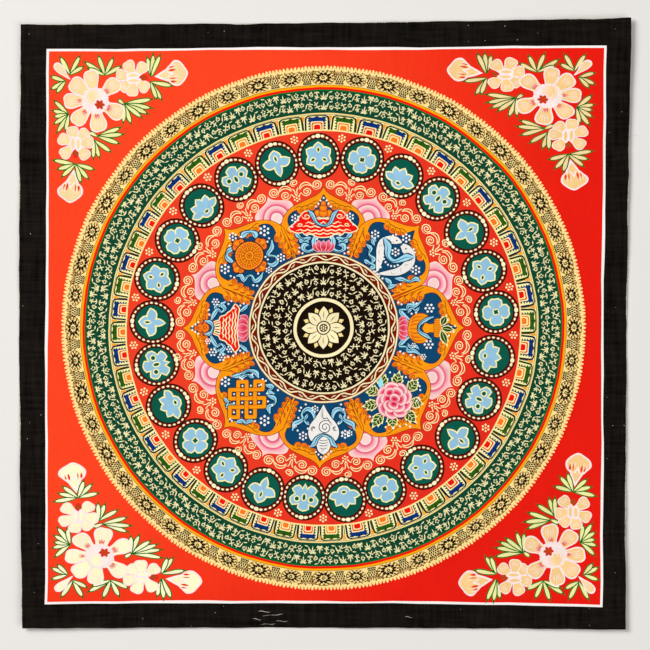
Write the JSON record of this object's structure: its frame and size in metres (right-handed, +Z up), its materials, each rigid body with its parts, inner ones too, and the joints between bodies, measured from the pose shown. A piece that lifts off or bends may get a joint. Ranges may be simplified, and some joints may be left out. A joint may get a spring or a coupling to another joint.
{
  "type": "unmounted thangka painting on canvas",
  "caption": "Hand-cut, nearly square sheet of painted cotton canvas that lies flat, with slightly raised corners and edges.",
  "frame": {"origin": "on the surface that the sheet lies on, under the middle of its box", "axes": "+X to the picture's right, +Y to its top, +Z up out of the painted face"},
  "size_m": [0.4236, 0.423, 0.0044],
  "materials": {
    "painted_canvas": "dull painted cotton canvas with a black painted border"
  },
  "bodies": {
    "root": {"canvas": "painted_canvas"}
  },
  "joints": []
}
